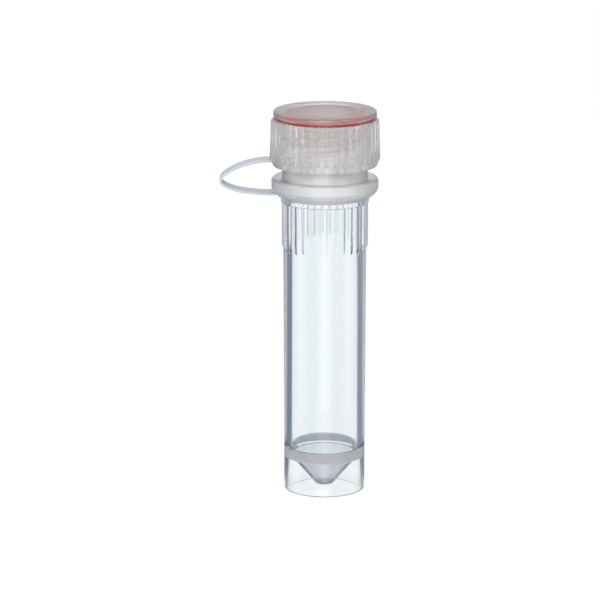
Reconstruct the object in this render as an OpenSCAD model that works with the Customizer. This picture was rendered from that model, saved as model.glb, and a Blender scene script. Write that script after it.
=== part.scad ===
// Self-standing 2 ml screw-cap micro tube with its cap on a strap.
// Units are millimetres. +Z is up. The origin is on the tube's axis, on the plane
// of the foot, and the strap loops out towards -X.

/* [Tube] */
// Outside diameter of the skirt that the tube stands on
skirt_d = 10.2; // [9.8:0.1:10.4]
// Wall of the skirt
skirt_wall = 0.55; // [0.4:0.05:0.7]
// Height of the solid band between the skirt's hollow and the bore
band_h = 1.28; // [1:0.01:1.6]
// Outside diameter of the body under the bead, to which it widens from the skirt
body_d = 10.44; // [10.2:0.02:10.6]
// Height of the plain body, from the foot to the ends of the ribs
body_h = 30.9; // [20:0.1:45]
// Bore of the body
bore_d = 8.4; // [7.8:0.1:8.6]
// Gap under the tip of the cone, above the foot's plane
tip_gap = 0.75; // [0.3:0.05:0.8]
// Thickness of the cone's floor at its tip
tip_floor = 0.3; // [0.3:0.05:0.6]
// Diameter of the small flat floor inside the cone
floor_d = 1.06; // [0.8:0.02:1.4]
// Half angle of the cone at the bottom of the bore
cone_angle = 39; // [36:1:42]
// Diameter of the cone's outside at its tip
tip_d = 2.1; // [1.8:0.05:2.4]
// How far the upper end of the cone's outside stands in from the skirt's inside
cone_inset = 0.24; // [0.1:0.02:0.5]

/* [Ribs and bead] */
// How far the ribs stand out of the body at its widest
rib_reach = 0.18; // [0.1:0.02:0.3]
// Length of the ribs
rib_h = 6.23; // [4:0.01:8]
// Width of one rib
rib_w = 0.4; // [0.3:0.05:0.6]
// Number of ribs round the tube
rib_count = 30; // [20:1:36]
// Angle of the first rib from +X
rib_phase = 9.7; // [0:0.1:12]
// How far the bead that carries the collar stands out of the body
bead_reach = 0.33; // [0.2:0.01:0.5]
// Height of the bead
bead_h = 0.72; // [0.5:0.02:1]

/* [Neck] */
// Wall of the neck's core, for which the bore gives the inside
neck_wall = 0.55; // [0.45:0.01:0.7]
// How far the seat inside the collar stands out of the core
seat_step = 0.15; // [0.05:0.01:0.3]
// How far the thread stands out of the core, which stands in for it
thread_h = 0.35; // [0.2:0.01:0.45]
// Length of the neck, from the bead to the rim
neck_h = 9.35; // [8:0.05:12]
// Rounding of the rim
rim_round = 0.15; // [0.05:0.05:0.25]

/* [Collar] */
// Wall of the collar's hub
hub_wall = 0.37; // [0.3:0.01:0.5]
// Height of the collar with its hub
collar_h = 3.85; // [3.4:0.05:4.4]
// How far the flange's edge stands back from the knurl
flange_inset = 0.18; // [0.05:0.01:0.5]
// Height of the flange's lower edge above the bead
flange_z = 0.95; // [0.8:0.05:1.2]
// Thickness of the flange
flange_h = 1.4; // [1:0.05:1.6]
// Rounding of the flange's upper edge
flange_round = 0.4; // [0.2:0.05:0.5]
// Width of the lip that rests on the bead
lip_w = 0.88; // [0.5:0.02:0.9]
// Running clearance between collar and neck, on the radius
collar_clear = 0.08; // [0.05:0.01:0.1]

/* [Cap] */
// Diameter over the knurl at its lower end
knurl_d = 13.72; // [13.2:0.02:14]
// How far the knurl narrows up to its upper end, on the radius
knurl_draft = 0.12; // [0.05:0.01:0.3]
// Number of grooves in the knurl
knurl_count = 45; // [30:1:60]
// Angle of the first groove from +X
knurl_phase = 7.3; // [0:0.1:8]
// Diameter of the round cutter of one groove
groove_d = 0.44; // [0.3:0.02:0.6]
// How far the cap's lower edge stands back from the knurl
foot_inset = 0.33; // [0.2:0.01:0.5]
// Height of the plain band under the knurl
cap_band_h = 0.85; // [0.5:0.05:1.2]
// Gap between the collar and the cap
cap_gap = 0.1; // [0.05:0.05:0.3]
// Clearance between thread and cap, on the radius
thread_clear = 0.1; // [0.05:0.01:0.15]
// How far the disc on top stands back from the knurl's upper end
disc_inset = 0.3; // [0.1:0.01:0.6]
// Height of the smooth disc
disc_h = 1.05; // [0.8:0.05:1.4]
// Rounding of the disc's upper edge
disc_round = 0.2; // [0.1:0.05:0.3]
// Thickness of the top over the seal
top_wall = 0.7; // [0.35:0.05:0.8]
// Diameter of the shallow recess in the top
recess_d = 8.84; // [8:0.02:10]
// Depth of the recess
recess_h = 0.18; // [0.1:0.02:0.3]
// Clearance between the bore and the cap's boss that centres the seal, on the radius
boss_clear = 0.2; // [0.1:0.05:0.4]
// How far the boss reaches below the tube's rim
boss_reach = 3.0; // [2:0.1:3.6]
// Wall of the boss, which is hollow from below
boss_wall = 0.8; // [0.6:0.05:1.2]
// Thickness of the cap's top over the boss
ceiling_h = 1.0; // [0.8:0.05:1.4]

/* [Seal] */
// Width of the seal ring's section
seal_w = 1.1; // [0.9:0.05:1.3]
// Height of the seal ring, squeezed
seal_h = 0.75; // [0.7:0.05:1.2]
// Clearance round the seal ring, on the radius
seal_clear = 0.05; // [0.02:0.01:0.1]

/* [Strap] */
// Width of the strap
strap_w = 2.6; // [2:0.1:3.2]
// Thickness of the strap
strap_t = 0.4; // [0.3:0.05:0.5]
// How far the strap's loop stands out from the axis
strap_reach = 13.1; // [12:0.1:15]
// How far the strap's roots stand out past the cap and the flange
root_len = 0.3; // [0.2:0.05:0.6]
// Height of the strap's upper end above the cap's lower edge
root_rise = 0.6; // [0.4:0.05:0.6]
// Height of the strap's lower end above the bead
tail_rise = 0.4; // [0.3:0.05:0.5]

/* [Hidden] */
$fn = 96;

clear_pp = [0.86, 0.91, 0.93, 0.45];
natural_pp = [0.80, 0.79, 0.79, 0.75];
strap_pp = [0.76, 0.80, 0.84, 0.85];
seal_red = [0.80, 0.16, 0.16];

// Heights, from the foot up
floor_z = tip_gap + tip_floor;
cone_z = floor_z + (bore_d - floor_d) / 2 / tan(cone_angle);
skirt_h = cone_z - band_h;
rib_top_z = body_h + rib_h;
seat_z = rib_top_z + bead_h;
collar_top_z = seat_z + collar_h;
cap_z = collar_top_z + cap_gap;
rim_z = seat_z + neck_h;
seal_top_z = rim_z + seal_h;
cap_top_z = seal_top_z + top_wall;
knurl_z = cap_z + cap_band_h;
disc_z = cap_top_z - disc_h;
boss_z = rim_z - boss_reach;
ceiling_z = cap_top_z - ceiling_h;

// Radii that follow from others
foot_r = skirt_d / 2;
hollow_r = foot_r - skirt_wall;
body_r = body_d / 2;
bore_r = bore_d / 2;
neck_r = bore_r + neck_wall;
seat_r = neck_r + seat_step;
collar_bore_r = seat_r + collar_clear;
hub_r = collar_bore_r + hub_wall;
lip_r = collar_bore_r + lip_w;
knurl_r = knurl_d / 2;
knurl_top_r = knurl_r - knurl_draft;
cap_foot_r = knurl_r - foot_inset;
disc_r = knurl_top_r - disc_inset;
flange_r = knurl_r - flange_inset;
cap_bore_r = neck_r + thread_h + thread_clear;
seal_out_r = cap_bore_r - seal_clear;
seal_in_r = seal_out_r - seal_w;
boss_r = min(bore_r - boss_clear, seal_in_r - seal_clear);
boss_in_r = boss_r - boss_wall;

// Ends of the strap, and the shape of its loop
root_r = knurl_r + root_len;
head_z = cap_z + root_rise;
tail_z = seat_z + tail_rise;
strap_tip = 0.4;
tip_pull = 1.0;
upper_pull = 2.4;
lower_pull = 2.6;
strap_steps = 16;

// Quarter round about a centre, from one angle to another
function arc(cx, cy, r, a0, a1, steps = 6) =
    [for (i = [0 : steps]) let (a = a0 + (a1 - a0) * i / steps) [cx + r * cos(a), cy + r * sin(a)]];

// One moulding: skirt, cone, body, bead and neck, turned about the axis
module tube_wall() {
    rotate_extrude($fn = 192)
        polygon(concat(
            [[hollow_r, 0], [foot_r, 0], [foot_r, cone_z], [body_r, rib_top_z]],
            [[body_r + bead_reach, rib_top_z], [body_r + bead_reach, seat_z]],
            [[seat_r, seat_z], [seat_r, collar_top_z], [neck_r, cap_z + cap_band_h]],
            arc(neck_r - rim_round, rim_z - rim_round, rim_round, 0, 90),
            arc(bore_r + rim_round, rim_z - rim_round, rim_round, 90, 180),
            [[bore_r, cone_z], [floor_d / 2, floor_z], [0, floor_z]],
            [[0, tip_gap], [tip_d / 2, tip_gap]],
            [[hollow_r - cone_inset, skirt_h], [hollow_r, skirt_h]]
        ));
}

// A rib stands on the body's wall and runs up into the bead
module rib() {
    root_in_r = (bore_r + body_r) / 2;
    translate([root_in_r, -rib_w / 2, body_h])
        cube([body_r + rib_reach - root_in_r, rib_w, rib_h + bead_h / 2]);
}

module tube() {
    color(clear_pp) union() {
        tube_wall();
        for (i = [0 : rib_count - 1])
            rotate([0, 0, rib_phase + i * 360 / rib_count]) rib();
    }
}

// Box with which a moulding reaches out to one end of the strap
module strap_root(inner_r, z) {
    translate([-root_r, -strap_w / 2, z - strap_t / 2])
        cube([root_r - inner_r, strap_w, strap_t]);
}

// Loose ring round the neck: lip, flange and hub in one moulding, with the strap's lower root
module collar() {
    edge_r = flange_r - flange_round;
    edge_z = seat_z + flange_z;
    flange_top_z = edge_z + flange_h;
    color(natural_pp) union() {
        rotate_extrude($fn = 192)
            polygon(concat(
                [[collar_bore_r, seat_z], [lip_r, seat_z]],
                [[flange_r - flange_round / 2, edge_z - 3 / 4 * flange_round]],
                [[flange_r, edge_z + flange_round / 2]],
                arc(edge_r, flange_top_z - flange_round, flange_round, 0, 90),
                [[hub_r, flange_top_z], [hub_r, collar_top_z], [collar_bore_r, collar_top_z]]
            ));
        strap_root(lip_r - root_len / 2, tail_z);
    }
}

// Outside and inside of the cap, turned about the axis
module cap_wall() {
    recess_r = recess_d / 2;
    rotate_extrude($fn = 192)
        polygon(concat(
            [[cap_bore_r, cap_z], [cap_foot_r, cap_z], [knurl_r, knurl_z]],
            [[knurl_top_r, disc_z - disc_inset], [disc_r, disc_z]],
            arc(disc_r - disc_round, cap_top_z - disc_round, disc_round, 0, 90),
            [[recess_r, cap_top_z], [recess_r - recess_h, cap_top_z - recess_h], [0, cap_top_z - recess_h]],
            [[0, ceiling_z], [boss_in_r, ceiling_z], [boss_in_r, boss_z], [boss_r, boss_z]],
            [[boss_r, seal_top_z], [cap_bore_r, seal_top_z]]
        ));
}

// Round cutter of one groove, leaning with the draft of the knurl
module knurl_cutter() {
    draft = atan(knurl_draft / (disc_z - knurl_z));
    translate([knurl_r, 0, knurl_z])
        rotate([0, -draft, 0])
            cylinder(d = groove_d, h = 2 * (disc_z - knurl_z), $fn = 24);
}

// Screw cap in one moulding, with the strap's upper root
module cap() {
    color(natural_pp) union() {
        difference() {
            cap_wall();
            for (i = [0 : knurl_count - 1])
                rotate([0, 0, knurl_phase + i * 360 / knurl_count]) knurl_cutter();
        }
        strap_root(cap_foot_r - root_len / 2, head_z);
    }
}

// Silicone ring squeezed between the tube's rim and the cap
module o_ring() {
    edge = seal_h / 2;
    color(seal_red)
        rotate_extrude($fn = 96)
            seal_section(seal_in_r, seal_out_r, rim_z, edge);
}

// Section of the squeezed ring: flat above and below, round at both sides
module seal_section(in_r, out_r, z, edge) {
    polygon(concat(
        arc(out_r - edge, z + edge, edge, -90, 90, 12),
        arc(in_r + edge, z + edge, edge, 90, 270, 12)
    ));
}

// Point and direction of a cubic curve with four control points
function curve(p, t) = pow(1 - t, 3) * p[0] + 3 * t * pow(1 - t, 2) * p[1]
    + 3 * t * t * (1 - t) * p[2] + t * t * t * p[3];
function heading(p, t) = pow(1 - t, 2) * (p[1] - p[0]) + 2 * t * (1 - t) * (p[2] - p[1])
    + t * t * (p[3] - p[2]);
function beside(p, t, d) = let (h = heading(p, t)) curve(p, t) + d * [-h[1], h[0]] / norm(h);

// Flexible ribbon that loops out from the cap's foot and back to the collar
module strap() {
    tip_x = -(strap_reach - strap_t / 2);
    tip_z = tail_z + (head_z - tail_z) * strap_tip;
    upper = [[-root_r, head_z], [-root_r - upper_pull, head_z], [tip_x, tip_z + tip_pull], [tip_x, tip_z]];
    lower = [[tip_x, tip_z], [tip_x, tip_z - tip_pull], [-root_r - lower_pull, tail_z], [-root_r, tail_z]];
    side = strap_t / 2;
    ts = [for (i = [0 : strap_steps]) i / strap_steps];
    back = [for (i = [strap_steps : -1 : 0]) i / strap_steps];
    color(strap_pp)
        rotate([90, 0, 0])
            translate([0, 0, -strap_w / 2])
                linear_extrude(strap_w)
                    polygon(concat(
                        [for (t = ts) beside(upper, t, side)],
                        [for (t = ts) if (t > 0) beside(lower, t, side)],
                        [for (t = back) beside(lower, t, -side)],
                        [for (t = back) if (t < 1) beside(upper, t, -side)]
                    ));
}

tube();
collar();
strap();
o_ring();
cap();
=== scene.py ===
from math import atan2, cos, degrees, hypot, pi, radians, sin, tan

import bmesh
import bpy
from mathutils import Matrix, Vector


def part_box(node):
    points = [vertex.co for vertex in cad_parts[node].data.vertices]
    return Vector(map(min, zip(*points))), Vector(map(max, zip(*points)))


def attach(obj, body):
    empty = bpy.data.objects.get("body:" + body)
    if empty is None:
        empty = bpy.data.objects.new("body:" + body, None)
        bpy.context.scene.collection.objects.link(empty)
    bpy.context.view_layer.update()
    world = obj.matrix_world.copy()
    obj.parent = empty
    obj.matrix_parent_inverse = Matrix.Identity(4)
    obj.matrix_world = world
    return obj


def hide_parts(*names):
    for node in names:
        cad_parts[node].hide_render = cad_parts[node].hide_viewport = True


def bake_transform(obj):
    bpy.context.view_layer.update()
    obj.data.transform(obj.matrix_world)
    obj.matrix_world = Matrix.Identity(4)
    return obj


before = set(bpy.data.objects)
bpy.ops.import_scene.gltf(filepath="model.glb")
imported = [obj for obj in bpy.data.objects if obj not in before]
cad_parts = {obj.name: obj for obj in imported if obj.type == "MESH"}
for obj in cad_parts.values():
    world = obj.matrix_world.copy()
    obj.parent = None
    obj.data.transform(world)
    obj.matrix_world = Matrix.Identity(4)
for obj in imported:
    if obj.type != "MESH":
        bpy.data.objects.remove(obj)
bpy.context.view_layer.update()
MM = 0.001

# TUBE
# Clear polypropylene, one moulding: skirt, cone, body with ribs, bead and threaded neck.
# Turned here from its outline, with the ribs and the thread raised out of the turned skin.
tube_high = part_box("tube")[1]
collar_low, collar_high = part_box("collar")

foot_r = 5.1
skirt_wall = 0.55
band_h = 1.28
bore_r = 4.2
tip_gap = 0.75
tip_floor = 0.3
tip_r = 1.05
tip_round = 0.1
tip_frost_h = 0.5
floor_r = 0.53
cone_slope = tan(radians(39))
cone_inset = 0.24
body_top_r = 5.22
bead_r = tube_high.x / MM
bead_top = collar_low.z / MM
bead_h = 0.72
bead_round = 0.2
bead_foot = bead_top - bead_h
seat_r = 4.9
seat_top = collar_high.z / MM
neck_r = 4.75
neck_taper_h = 0.95
neck_foot = seat_top + neck_taper_h
rim_top = tube_high.z / MM
rim_round = 0.15
soft_edge = 0.08
near = 0.01

floor_top = tip_gap + tip_floor
cone_top = floor_top + (bore_r - floor_r) / cone_slope
hollow_r = foot_r - skirt_wall
hollow_top = cone_top - band_h
band_rise = 0.1
band_top = cone_top + band_rise
tip_top = tip_gap + tip_frost_h


def body_r(z):
    """Radius of the body, which widens evenly up to the bead."""
    return foot_r + (body_top_r - foot_r) * (z - cone_top) / (bead_foot - cone_top)


def cone_skin_r(z):
    """Radius of the cone's outside, from its tip up to the skirt."""
    return tip_r + (hollow_r - cone_inset - tip_r) * (z - tip_gap) / (hollow_top - tip_gap)


def outline(corners, arc_steps=4):
    """Points (r, z) of a line through corners (r, z, rounding), with an arc at each rounded corner."""
    points = []
    for i, (r, z, rounding) in enumerate(corners):
        here = Vector((r, z))
        if rounding == 0:
            points.append(here)
            continue
        before = (Vector(corners[i - 1][:2]) - here).normalized()
        after = (Vector(corners[(i + 1) % len(corners)][:2]) - here).normalized()
        half = before.angle(after) / 2
        start = here + before * rounding / tan(half)
        end = here + after * rounding / tan(half)
        centre = here + (before + after).normalized() * rounding / sin(half)
        for step in range(arc_steps + 1):
            spoke = (start - centre).slerp(end - centre, step / arc_steps)
            points.append(centre + spoke * rounding)
    return points


def turned(points, steps, phase=0.0):
    """A bmesh of a closed outline in millimetres, turned once round the axis."""
    shape = bmesh.new()
    verts = [shape.verts.new((r * MM, 0, z * MM)) for r, z in points]
    edges = [shape.edges.new(pair) for pair in zip(verts, verts[1:] + verts[:1])]
    turn = Matrix.Rotation(radians(phase), 3, "Z")
    bmesh.ops.rotate(shape, verts=verts, cent=(0, 0, 0), matrix=turn)
    bmesh.ops.spin(
        shape, geom=verts + edges, cent=(0, 0, 0), axis=(0, 0, 1), dvec=(0, 0, 0),
        angle=2 * pi, steps=steps, use_merge=True, use_duplicate=False,
    )
    bmesh.ops.remove_doubles(shape, verts=shape.verts, dist=1e-7)
    return shape


def finished(shape, name, material, body, node):
    """Closes a bmesh into a shaded object that rides on a body and stands for a CAD node."""
    bmesh.ops.recalc_face_normals(shape, faces=shape.faces)
    mesh = bpy.data.meshes.new(name)
    shape.to_mesh(mesh)
    shape.free()
    mesh.shade_smooth()
    mesh.set_sharp_from_angle(angle=radians(32))
    mesh.materials.append(material)
    piece = bpy.data.objects.new(name, mesh)
    bpy.context.scene.collection.objects.link(piece)
    if body:
        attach(piece, body)
    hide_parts(node)
    return piece


thread_h = 0.35
thread_pitch = 2.0
thread_w = 1.3
thread_foot = 43.0
thread_top = 46.6
thread_fade_h = 0.3
row_h = 0.1
thread_rows = [thread_foot + row_h * i for i in range(int((thread_top - thread_foot) / row_h) + 1)]


def ridge(height, pitch, width):
    """0 to 1 across a rounded thread ridge of a width, repeated at a pitch."""
    away = abs((height + pitch / 2) % pitch - pitch / 2)
    return cos(pi * away / width) ** 2 if away < width / 2 else 0.0


def thread_rise(z, turn, lead=0.0):
    """How far the thread stands out of its cylinder at a height and a turn, fading out at both ends."""
    fade = min(1.0, (z - thread_foot) / thread_fade_h, (thread_top - z) / thread_fade_h)
    climb = z - thread_foot + lead - thread_pitch * turn / 360
    return thread_h * fade * ridge(climb, thread_pitch, thread_w)


def off_centre(turn, count, phase):
    """How far a turn lies from the nearest of a number of even divisions, with its sign."""
    return (turn - phase + 180 / count) % (360 / count) - 180 / count


rib_count = 30
rib_phase = 9.7
rib_foot = 30.9
rib_r = 5.39
rib_half_deg = 2.6
rib_crowding = 1.8
rib_runout = 0.8
runout_rows = 8
rib_rows = [rib_foot + rib_runout * i / runout_rows for i in range(1, runout_rows + 1)]
tube_steps = 720

tube_line = outline([
    (hollow_r, 0, soft_edge), (foot_r, 0, soft_edge), (foot_r, hollow_top, 0), (foot_r, band_top, 0),
    (body_r(rib_foot), rib_foot, 0), *((body_r(z), z, 0) for z in rib_rows),
    (body_top_r, bead_foot, 0),
    (bead_r, bead_foot, bead_round), (bead_r, bead_top, soft_edge),
    (seat_r, bead_top, 0), (seat_r, seat_top, 0), (neck_r, neck_foot, 0),
    *((neck_r, z, 0) for z in thread_rows),
    (neck_r, rim_top, rim_round), (bore_r, rim_top, rim_round),
    (bore_r, cone_top, 0), (floor_r, floor_top, 0), (0, floor_top, 0),
    (0, tip_gap, 0), (tip_r, tip_gap, tip_round), (cone_skin_r(tip_top), tip_top, 0),
    (cone_skin_r(hollow_top), hollow_top, 0), (hollow_r, hollow_top, 0),
])
tube_skin = turned(tube_line, tube_steps, rib_phase)
# The columns of vertices crowd towards the ribs. Ribs rise from the body, the thread from the neck.
for vert in tube_skin.verts:
    r = hypot(vert.co.x, vert.co.y) / MM
    z = vert.co.z / MM
    if r < near:
        continue
    turn = degrees(atan2(vert.co.y, vert.co.x))
    off = off_centre(turn, rib_count, rib_phase)
    half = 180 / rib_count
    closer = half * (abs(off) / half) ** rib_crowding * (1 if off > 0 else -1)
    turn += closer - off
    if seat_r < r < rib_r and rib_foot + near < z < bead_foot + near and abs(closer) < rib_half_deg:
        end = min(1.0, (z - rib_foot) / rib_runout)
        r += (rib_r - r) * end * end * (3 - 2 * end) * cos(pi / 2 * closer / rib_half_deg) ** 2
    elif abs(r - neck_r) < near and thread_foot < z < thread_top:
        r += thread_rise(z, turn)
    vert.co.x = r * MM * cos(radians(turn))
    vert.co.y = r * MM * sin(radians(turn))


def add(tree, kind, inputs=None, **settings):
    """A shader node with its settings, and its inputs set to plain values or linked."""
    made = tree.nodes.new(kind)
    for key, value in settings.items():
        setattr(made, key, value)
    for key, value in (inputs or {}).items():
        if isinstance(value, bpy.types.NodeSocket):
            tree.links.new(value, made.inputs[key])
        else:
            made.inputs[key].default_value = value
    return made


def ramp(tree, value, start, end, low=0.0, high=1.0):
    """A value that runs smoothly from low at start to high at end."""
    inputs = {"Value": value, "From Min": start, "From Max": end, "To Min": low, "To Max": high}
    return add(tree, "ShaderNodeMapRange", inputs, interpolation_type="SMOOTHSTEP").outputs["Result"]


def times(tree, a, b):
    """The product of two values."""
    return add(tree, "ShaderNodeMath", {0: a, 1: b}, operation="MULTIPLY").outputs[0]


def blended(tree, share, a, b):
    """A mix of two colours."""
    mix = add(tree, "ShaderNodeMix", {0: share, 6: a, 7: b}, data_type="RGBA")
    return mix.outputs[2]


def moulding_marks():
    """A node group with the fine grain and the flow lines of a moulded skin."""
    group = bpy.data.node_groups.new("moulding_marks", "ShaderNodeTree")
    for socket in ("Grain Scale", "Flow Scale", "Depth"):
        group.interface.new_socket(socket, in_out="INPUT", socket_type="NodeSocketFloat")
    for socket in ("Height", "Radius"):
        group.interface.new_socket(socket, in_out="OUTPUT", socket_type="NodeSocketFloat")
    for socket in ("Grain", "Flow"):
        group.interface.new_socket(socket, in_out="OUTPUT", socket_type="NodeSocketFloat")
    group.interface.new_socket("Normal", in_out="OUTPUT", socket_type="NodeSocketVector")
    inside, outside = group.nodes.new("NodeGroupInput"), group.nodes.new("NodeGroupOutput")
    place = add(group, "ShaderNodeTexCoord").outputs["Object"]
    parts = add(group, "ShaderNodeSeparateXYZ", {0: place})
    flat = add(group, "ShaderNodeCombineXYZ", {0: parts.outputs[0], 1: parts.outputs[1]})
    radius = add(group, "ShaderNodeVectorMath", {0: flat.outputs[0]}, operation="LENGTH")
    grain = add(group, "ShaderNodeTexNoise", {
        "Vector": place, "Scale": inside.outputs["Grain Scale"], "Detail": 2.0,
    })
    squeezed = add(group, "ShaderNodeMapping", {"Vector": place, "Scale": (1, 1, 0.12)})
    flow = add(group, "ShaderNodeTexNoise", {
        "Vector": squeezed.outputs[0], "Scale": inside.outputs["Flow Scale"], "Detail": 3.0,
    })
    bump = add(group, "ShaderNodeBump", {
        "Height": grain.outputs["Fac"], "Strength": 1.0, "Distance": inside.outputs["Depth"],
    })
    for name, socket in (
        ("Height", parts.outputs[2]), ("Radius", radius.outputs["Value"]),
        ("Grain", grain.outputs["Fac"]), ("Flow", flow.outputs["Fac"]), ("Normal", bump.outputs[0]),
    ):
        group.links.new(socket, outside.inputs[name])
    return group


marks = moulding_marks()


def plastic(name, ior=1.49, transmission=1.0, grain=9000.0, flow=600.0, depth=0.000001):
    """A moulded, see-through plastic: its tree, shader and skin marks."""
    material = bpy.data.materials.new(name)
    material.use_nodes = True
    tree = material.node_tree
    shader = tree.nodes["Principled BSDF"]
    shader.inputs["IOR"].default_value = ior
    shader.inputs["Transmission Weight"].default_value = transmission
    skin = add(tree, "ShaderNodeGroup", node_tree=marks)
    skin.inputs["Grain Scale"].default_value = grain
    skin.inputs["Flow Scale"].default_value = flow
    skin.inputs["Depth"].default_value = depth
    tree.links.new(skin.outputs["Normal"], shader.inputs["Normal"])
    return material, tree, shader, skin.outputs


def follow(tree, mark, low=0.0, high=1.0):
    """A value that goes from low to high with one of the marks on the skin."""
    return ramp(tree, mark, 0.3, 0.7, low, high)


def clouded(tree, mark, colour, cloud):
    """A colour that drifts to a second one with one of the marks on the skin."""
    return blended(tree, follow(tree, mark), colour, cloud)


def marked(name, mark, colour, cloud, smooth, rough, **settings):
    """A plastic whose colour and roughness both follow one of the marks on its skin."""
    material, tree, shader, skin = plastic(name, **settings)
    tree.links.new(clouded(tree, skin[mark], colour, cloud), shader.inputs["Base Color"])
    tree.links.new(follow(tree, skin[mark], smooth, rough), shader.inputs["Roughness"])
    return material


def between(tree, value, low, high, edge):
    """1 where a value in millimetres lies between two limits, with soft edges."""
    up = ramp(tree, value, (low - edge) * MM, (low + edge) * MM)
    return times(tree, up, ramp(tree, value, (high + edge) * MM, (high - edge) * MM))


# A bluish arc of painted shade lies on the upper edge of the cone's inside, where wall, cone and skirt
# meet; it stands in for the shaded floor seen through the plastic.
shade_arc_h = 0.85
shade_arc_reach = 0.06
shade_arc_edge = 0.02
clear_plastic, tree, shader, skin = plastic("clear_polypropylene", depth=0.00000025)
shade_arc = times(tree, between(tree, skin["Height"], cone_top - shade_arc_h, cone_top + near, shade_arc_edge),
            between(tree, skin["Radius"], 0, bore_r + shade_arc_reach, shade_arc_edge))
# painted shade: the clear colour turns bluish grey on the arc
shaded_base = blended(tree, shade_arc, (0.94, 0.968, 0.979, 1), (0.70, 0.81, 0.89, 1))
tree.links.new(shaded_base, shader.inputs["Base Color"])
tree.links.new(follow(tree, skin["Flow"], 0.01, 0.04), shader.inputs["Roughness"])
cone_plastic = marked(
    "cone_polypropylene", "Flow", (0.93, 0.92, 0.93, 1), (0.89, 0.885, 0.895, 1), 0.18, 0.26,
    transmission=0.85, depth=0.0000005,
)
# The frosted band and tip take a grey that is painted shade.
frosted_shaded_plastic = marked(
    "frosted_shaded_polypropylene", "Grain", (0.67, 0.66, 0.685, 1), (0.63, 0.625, 0.65, 1), 0.35, 0.45,
    transmission=0.5,
)
tube = finished(tube_skin, "tube_moulding", clear_plastic, "tube", "tube")
tube.data.materials.append(frosted_shaded_plastic)
tube.data.materials.append(cone_plastic)
# Band and tip are frosted and painted grey as shade, and the cone is hazy. The faces of the ribs aren't
# smoothed.
down_facing = -0.3
rib_start = 0.004
for face in tube.data.polygons:
    r = hypot(face.center.x, face.center.y) / MM
    z = face.center.z / MM
    on_band = hollow_top < z < band_top and r > (hollow_r + foot_r) / 2
    under_cone = face.normal.z < down_facing and tip_gap - near < z < hollow_top + near
    if on_band or (under_cone and z < tip_top):
        face.material_index = 1
    elif under_cone:
        face.material_index = 2
    if rib_foot < z < bead_foot and body_r(z) + rib_start < r < bead_r:
        face.use_smooth = False

# COLLAR
# Natural polypropylene ring, loose round the neck, with a flange and a hub.
# It rests on the tube's bead and carries the strap's lower end.
collar_play = 0.08
collar_bore_r = seat_r + collar_play
lip_wall = 0.88
lip_r = collar_bore_r + lip_wall
lip_h = 0.95
flange_r = collar_high.x / MM
flange_foot = bead_top + lip_h
flange_h = 1.4
flange_top = flange_foot + flange_h
flange_slant_h = 0.3
flange_round = 0.4
fillet = 0.1
hub_wall = 0.37
hub_r = collar_bore_r + hub_wall
collar_steps = 192
collar_line = outline([
    (collar_bore_r, bead_top, 0), (lip_r, bead_top, soft_edge),
    (flange_r - flange_round / 2, flange_foot - flange_slant_h, fillet),
    (flange_r, flange_foot + flange_round / 2, fillet / 2),
    (flange_r, flange_top, flange_round), (hub_r, flange_top, fillet),
    (hub_r, seat_top, soft_edge), (collar_bore_r, seat_top, 0),
])
collar_skin = turned(collar_line, collar_steps)
collar_plastic = marked(
    "natural_polypropylene", "Flow", (0.93, 0.92, 0.925, 1), (0.89, 0.88, 0.885, 1), 0.15, 0.21,
    transmission=0.64, depth=0.000004,
)
finished(collar_skin, "collar_ring", collar_plastic, "collar", "collar")

# CAP
# Natural polypropylene screw cap, one moulding: knurled wall, smooth disc on top,
# inside thread and a boss that centres the seal.
cap_low, cap_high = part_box("cap")
ring_low, ring_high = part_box("o_ring")
cap_foot = cap_low.z / MM
foot_band_h = 0.85
foot_slant = 0.33
knurl_r = cap_high.x / MM
knurl_foot = cap_foot + foot_band_h
knurl_draft = 0.12
knurl_top_r = knurl_r - knurl_draft
disc_step = 0.3
disc_r = knurl_top_r - disc_step
cap_top = cap_high.z / MM
disc_h = 1.05
disc_foot = cap_top - disc_h
disc_round = 0.3
recess_r = 4.42
recess_h = 0.12
recess_top = cap_top - recess_h
recess_round = 0.05
thread_gap = 0.1
cap_bore_r = neck_r + thread_h + thread_gap
seal_r = ring_high.x / MM
seal_top = ring_high.z / MM
seal_sink = 0.03
seal_bite = 0.05
seal_land = 0.1
boss_r = 4.0
boss_wall = 0.8
boss_in_r = boss_r - boss_wall
boss_reach = 3.0
boss_foot = rim_top - boss_reach
boss_round = 0.2
boss_lead_in = 0.3
roof_h = 1.0
ceiling = cap_top - roof_h
knurl_count = 45
knurl_phase = 7.3
groove_h = 0.16
groove_w = 0.34
groove_start = 0.05
hair = 0.001
knurl_steps = 720

cap_line = outline([
    (knurl_r - foot_slant, cap_foot, soft_edge), (knurl_r, knurl_foot, 0),
    (knurl_r - hair, knurl_foot + groove_start, 0),
    (knurl_top_r, disc_foot - disc_step, 0), (disc_r, disc_foot, 0), (disc_r, seal_top, 0),
    (disc_r, cap_top, disc_round), (recess_r, cap_top, recess_round),
    (recess_r - recess_h, recess_top, 0), (0, recess_top, 0),
    (0, ceiling, 0), (boss_in_r, ceiling, boss_round),
    (boss_in_r, boss_foot, boss_round), (boss_r, boss_foot, boss_lead_in),
    (boss_r, seal_top - seal_sink, 0), (seal_r - seal_bite, seal_top - seal_sink, 0),
    (seal_r - seal_bite, rim_top + seal_land, 0), (cap_bore_r, rim_top, 0),
    *((cap_bore_r, z, 0) for z in reversed(thread_rows)),
    (cap_bore_r, cap_foot, 0),
])
cap_skin = turned(cap_line, knurl_steps, knurl_phase)
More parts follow.
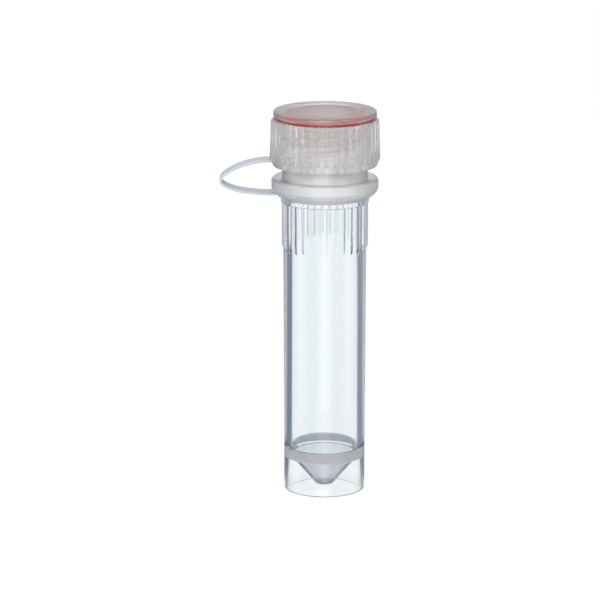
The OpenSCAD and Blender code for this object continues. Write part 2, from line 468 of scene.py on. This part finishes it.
# Grooves sink into the knurled wall, and the inside thread stands out of the bore.
for vert in cap_skin.verts:
    r = hypot(vert.co.x, vert.co.y) / MM
    z = vert.co.z / MM
    turn = degrees(atan2(vert.co.y, vert.co.x))
    wanted = r
    if r > disc_r + near and knurl_foot + near < z < disc_foot + near:
        across = abs(radians(off_centre(turn, knurl_count, knurl_phase))) * r
        if across < groove_w:
            wanted = r - groove_h * cos(pi / 2 * across / groove_w) ** 2
    elif abs(r - cap_bore_r) < near and thread_foot < z < thread_top:
        wanted = cap_bore_r - thread_rise(z, turn, thread_pitch / 2)
    if wanted != r and r > 0:
        vert.co.x *= wanted / r
        vert.co.y *= wanted / r

# The boss carries a painted pink reflection of the seal's red light, and the face of the disc is satin
# inside its rim.
red_light_edge = 0.05
cap_plastic, tree, shader, skin = plastic("knurled_polypropylene", transmission=0.78, depth=0.000004)
white = clouded(tree, skin["Flow"], (0.99, 0.968, 0.963, 1), (0.958, 0.936, 0.93, 1))
# painted reflection: the seal's red light on the boss, below the seal
painted_seal_light = times(tree, between(tree, skin["Radius"], -1, boss_r + red_light_edge, near),
             between(tree, skin["Height"], 0, seal_top - 2 * red_light_edge, red_light_edge))
tree.links.new(blended(tree, painted_seal_light, white, (0.97, 0.76, 0.74, 1)), shader.inputs["Base Color"])
tree.links.new(follow(tree, skin["Flow"], 0.08, 0.14), shader.inputs["Roughness"])
disc_plastic, tree, shader, skin = plastic("disc_polypropylene", transmission=0.87, depth=0.000004)
rosy = clouded(tree, skin["Flow"], (0.985, 0.955, 0.95, 1), (0.95, 0.915, 0.91, 1))
tree.links.new(rosy, shader.inputs["Base Color"])
satin = ramp(tree, skin["Height"], (recess_top - recess_h / 2) * MM, (recess_top - near) * MM, 0.08, 0.4)
tree.links.new(satin, shader.inputs["Roughness"])
wall_plastic = marked(
    "thin_wall_polypropylene", "Flow", (0.99, 0.965, 0.96, 1), (0.97, 0.94, 0.935, 1), 0.05, 0.08,
    transmission=0.97, depth=0.000004,
)
cap = finished(cap_skin, "screw_cap", cap_plastic, "cap", "cap")
cap.data.materials.append(disc_plastic)
cap.data.materials.append(wall_plastic)
for face in cap.data.polygons:
    r = hypot(face.center.x, face.center.y) / MM
    z = face.center.z / MM
    if disc_foot < z < seal_top and r > disc_r - disc_round:
        face.material_index = 2
    elif z > disc_foot and (r > disc_r - disc_round or z > cap_top - roof_h / 2):
        face.material_index = 1

# SEAL
# Red silicone ring, moulded by itself and pressed into the cap round its boss.
# It is shown squeezed flat between the tube's rim and the cap's roof.
ring_foot = ring_low.z / MM
ring_w = 1.1
ring_steps = 128
arcs_apart = 2.05
ring_round = (seal_top - ring_foot) / arcs_apart
ring_line = outline([
    (seal_r - ring_w, ring_foot, ring_round), (seal_r, ring_foot, ring_round),
    (seal_r, seal_top, ring_round), (seal_r - ring_w, seal_top, ring_round),
], arc_steps=6)
red = marked(
    "red_silicone", "Grain", (0.54, 0.024, 0.024, 1), (0.46, 0.02, 0.022, 1), 0.4, 0.55,
    ior=1.41, transmission=0.0, grain=7000.0, flow=900.0, depth=0.00001,
)
finished(turned(ring_line, ring_steps), "seal_ring", red, "cap", "o_ring")

# STRAP
# Thin polypropylene ribbon that ties the cap to the collar, moulded in one with both.
# Its ends run into the flange and into the cap's plain band.
strap_low, strap_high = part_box("strap")
strap_w = strap_high.y - strap_low.y
strap_t = 0.3
strap_round = 0.12
end_inset = 0.2
cap_lead = 2.4
collar_lead = 2.6
tip_lead = 1.0
tip_share = 0.4
cap_root = 0.7
collar_root = 1.1
head = Vector((strap_high.x, 0, strap_high.z - end_inset * MM))
tail = Vector((strap_high.x, 0, strap_low.z + end_inset * MM))
tip = Vector((strap_low.x + strap_t * MM / 2, 0, tail.z + (head.z - tail.z) * tip_share))
upper = (head, head - Vector((cap_lead * MM, 0, 0)), tip + Vector((0, 0, tip_lead * MM)), tip)
lower = (tip, tip - Vector((0, 0, tip_lead * MM)), tail - Vector((collar_lead * MM, 0, 0)), tail)
bend_steps = 20


def along(curve, t):
    """Point of a cubic curve with four control points, and the turn of its heading round Y."""
    a, b, c, d = curve
    point = a * (1 - t) ** 3 + b * 3 * t * (1 - t) ** 2 + c * 3 * t * t * (1 - t) + d * t ** 3
    heading = (b - a) * (1 - t) ** 2 + (c - b) * 2 * t * (1 - t) + (d - c) * t * t
    return point, atan2(-heading.z, heading.x)


stations = [(head + Vector((cap_root * MM, 0, 0)), pi)]
stations += [along(upper, i / bend_steps) for i in range(bend_steps)]
stations += [along(lower, i / bend_steps) for i in range(bend_steps + 1)]
stations.append((tail + Vector((collar_root * MM, 0, 0)), 0))
strap_skin = bmesh.new()
verts = bmesh.ops.create_grid(strap_skin, x_segments=1, y_segments=1, size=0.5)["verts"]
bmesh.ops.scale(strap_skin, verts=verts, vec=(strap_t * MM, strap_w, 1))
bmesh.ops.rotate(strap_skin, verts=verts, cent=(0, 0, 0), matrix=Matrix.Rotation(pi / 2, 3, "Y"))
end = strap_skin.faces[:]
here = Matrix.Identity(4)
for point, turn in stations:
    there = Matrix.Translation(point) @ Matrix.Rotation(turn, 4, "Y")
    move = there @ here.inverted()
    if here != Matrix.Identity(4):
        end = bmesh.ops.extrude_face_region(strap_skin, geom=end)["geom"]
        end = [part for part in end if isinstance(part, bmesh.types.BMFace)]
    bmesh.ops.transform(strap_skin, verts=list({v for face in end for v in face.verts}), matrix=move)
    here = there
inner = [f for f in strap_skin.faces if all(len(e.link_faces) > 2 for e in f.edges)]
bmesh.ops.delete(strap_skin, geom=inner, context="FACES_ONLY")
long_edges = [e for e in strap_skin.edges if abs(abs(e.verts[0].co.y) - strap_w / 2) < 1e-7
              and abs(e.verts[0].co.y - e.verts[1].co.y) < 1e-9 and len(e.link_faces) == 2
              and e.calc_face_angle(0) > radians(60)]
bmesh.ops.bevel(strap_skin, geom=long_edges, offset=strap_round * MM, offset_type="OFFSET",
                affect="EDGES", segments=3, profile=0.5, material=-1, clamp_overlap=True)
strap_plastic, tree, shader, skin = plastic("strap_polypropylene", transmission=0.15, depth=0.000004)
# The strap's dark blue-grey colour is painted shade on the same plastic as cap and collar.
strap_painted_shade = clouded(tree, skin["Flow"], (0.63, 0.705, 0.77, 1), (0.60, 0.675, 0.745, 1))
tree.links.new(strap_painted_shade, shader.inputs["Base Color"])
tree.links.new(follow(tree, skin["Grain"], 0.3, 0.4), shader.inputs["Roughness"])
strap = finished(strap_skin, "strap_ribbon", strap_plastic, None, "strap")
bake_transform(strap)

# STAGE
# Pale floor and white surroundings. Mirrored rays meet a darker room between the four
# white sides, as they do in a studio. A broad lamp lights the front and a small one the right.
world_light = 0.75
floor_size = 6.0
floor_glow = 0.88
floor_grey = 0.8
shown_grey = 0.18
camera_lens = 178.1
camera_away = 0.373
camera_rise = radians(14.15)
glass_bounces = 64


def aside_group():
    """A node group: how far a direction or a place lies between the four white sides."""
    group = bpy.data.node_groups.new("room_aside", "ShaderNodeTree")
    group.interface.new_socket("Place", in_out="INPUT", socket_type="NodeSocketVector")
    group.interface.new_socket("Aside", in_out="OUTPUT", socket_type="NodeSocketFloat")
    group.interface.new_socket("Right", in_out="OUTPUT", socket_type="NodeSocketFloat")
    inside, outside = group.nodes.new("NodeGroupInput"), group.nodes.new("NodeGroupOutput")
    parts = add(group, "ShaderNodeSeparateXYZ", {0: inside.outputs["Place"]}).outputs
    turn = add(group, "ShaderNodeMath", {0: parts["X"], 1: parts["Y"]}, operation="ARCTAN2")
    wave = add(group, "ShaderNodeMath", {0: times(group, turn.outputs[0], 4.0)}, operation="COSINE")
    edge = add(group, "ShaderNodeMapRange", {"Value": wave.outputs[0], "From Min": 1.04, "From Max": -0.48})
    side = add(group, "ShaderNodeMath", {0: parts["X"], 1: 0.0}, operation="GREATER_THAN")
    group.links.new(edge.outputs["Result"], outside.inputs["Aside"])
    group.links.new(side.outputs[0], outside.inputs["Right"])
    return group


aside = aside_group()


def room(tree, coordinate):
    """The room's colour, and 1 for the rays that show it straight, by mirroring or through glass."""
    path = add(tree, "ShaderNodeLightPath").outputs
    mirrored = add(tree, "ShaderNodeMath", {0: path["Glossy Depth"], 1: 0.5}, operation="GREATER_THAN")
    place = add(tree, "ShaderNodeTexCoord").outputs[coordinate]
    found = add(tree, "ShaderNodeGroup", node_tree=aside)
    tree.links.new(place, found.inputs["Place"])
    sides = blended(tree, found.outputs["Right"], (0.16, 0.215, 0.265, 1), (0.22, 0.265, 0.32, 1))
    share = times(tree, mirrored.outputs[0], found.outputs["Aside"])
    straight = add(tree, "ShaderNodeMath", {0: path["Is Camera Ray"], 1: path["Is Transmission Ray"]},
                   operation="MAXIMUM").outputs[0]
    shown = add(tree, "ShaderNodeMath", {0: straight, 1: path["Is Glossy Ray"]}, operation="MAXIMUM")
    return blended(tree, share, (1, 1, 1, 1), sides), shown.outputs[0]


world = bpy.data.worlds.new("studio")
bpy.context.scene.world = world
world.use_nodes = True
tree = world.node_tree
colour, shown = room(tree, "Generated")
tree.links.new(colour, tree.nodes["Background"].inputs["Color"])
strength = ramp(tree, shown, 0.0, 1.0, world_light, 1.0)
tree.links.new(strength, tree.nodes["Background"].inputs["Strength"])

bpy.ops.mesh.primitive_plane_add(size=floor_size)
floor = bpy.context.object
floor.name = "floor"
floor_paint = bpy.data.materials.new("floor_paint")
floor_paint.use_nodes = True
tree = floor_paint.node_tree
tree.nodes.remove(tree.nodes["Principled BSDF"])
colour, shown = room(tree, "Object")
glow = add(tree, "ShaderNodeEmission", {"Color": colour, "Strength": times(tree, shown, floor_glow)})
grey = ramp(tree, shown, 0.0, 1.0, floor_grey, shown_grey)
dimmed = add(tree, "ShaderNodeVectorMath", {0: colour, 3: grey}, operation="SCALE")
matt = add(tree, "ShaderNodeBsdfDiffuse", {"Color": dimmed.outputs[0]})
both = add(tree, "ShaderNodeAddShader", {0: glow.outputs[0], 1: matt.outputs[0]})
tree.links.new(both.outputs[0], tree.nodes["Material Output"].inputs["Surface"])
floor.data.materials.append(floor_paint)

for name, size, energy, place in (
    ("soft_lamp", 0.6, 1.5, (-0.1, -0.47, 0.22)), ("small_lamp", 0.06, 0.15, (0.33, -0.34, 0.25)),
):
    lamp_data = bpy.data.lights.new(name, "AREA")
    lamp_data.shape = "DISK"
    lamp_data.size = size
    lamp_data.energy = energy
    lamp = bpy.data.objects.new(name, lamp_data)
    bpy.context.scene.collection.objects.link(lamp)
    lamp.location = place
    lamp.rotation_euler = (Vector((0, 0, 0.03)) - lamp.location).to_track_quat("-Z", "Y").to_euler()

camera_data = bpy.data.cameras.new("camera")
camera_data.lens = camera_lens
camera_data.clip_end = 10
camera = bpy.data.objects.new("camera", camera_data)
bpy.context.scene.collection.objects.link(camera)
aim = Vector((-3.1, 0, 24.39)) * MM
camera.location = aim + Vector((0, -cos(camera_rise), sin(camera_rise))) * camera_away
camera.rotation_euler = (pi / 2 - camera_rise, 0, 0)
bpy.context.scene.camera = camera
bpy.context.scene.view_settings.view_transform = "Standard"
bpy.context.scene.cycles.max_bounces = glass_bounces
bpy.context.scene.cycles.transmission_bounces = glass_bounces
bpy.context.scene.cycles.glossy_bounces = glass_bounces
